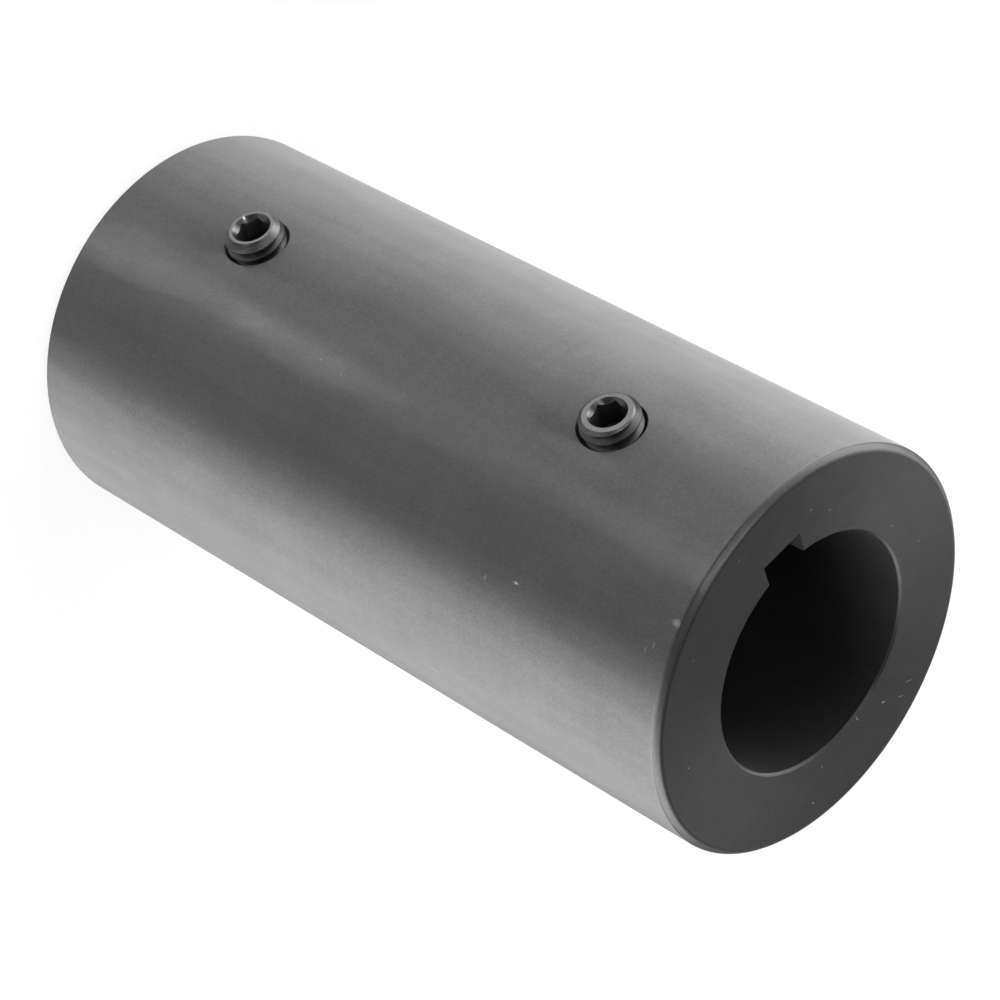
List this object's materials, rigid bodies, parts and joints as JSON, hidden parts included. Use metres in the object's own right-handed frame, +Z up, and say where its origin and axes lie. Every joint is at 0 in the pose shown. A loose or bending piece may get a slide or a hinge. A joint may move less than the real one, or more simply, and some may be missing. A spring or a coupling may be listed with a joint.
{
  "type": "rigid shaft coupling",
  "caption": "Keyed steel sleeve that joins shafts end to end: through bore, broached keyway and socket set screws over the key.",
  "frame": {"origin": "on the bore axis, in the plane of the bottom end face", "axes": "+Z up along the bore, towards the upper end; the keyway and both set screws are on the -Y side"},
  "size_m": [0.054, 0.0563, 0.1143],
  "materials": {
    "sleeve_black_oxide": "turned steel, satin black oxide",
    "screw_black_oxide": "hardened steel, oiled black oxide"
  },
  "bodies": {
    "sleeve": {"coupling_sleeve": "sleeve_black_oxide"},
    "upper_screw": {"upper_set_screw": "screw_black_oxide"},
    "lower_screw": {"lower_set_screw": "screw_black_oxide"}
  },
  "joints": [
    {"name": "upper_screw_travel", "type": "slide", "parent": "sleeve", "child": "upper_screw", "axis": [0, -1, 0], "range_m": [-0.00282, 0.00564]},
    {"name": "lower_screw_travel", "type": "slide", "parent": "sleeve", "child": "lower_screw", "axis": [0, -1, 0], "range_m": [-0.00282, 0.00564]}
  ]
}
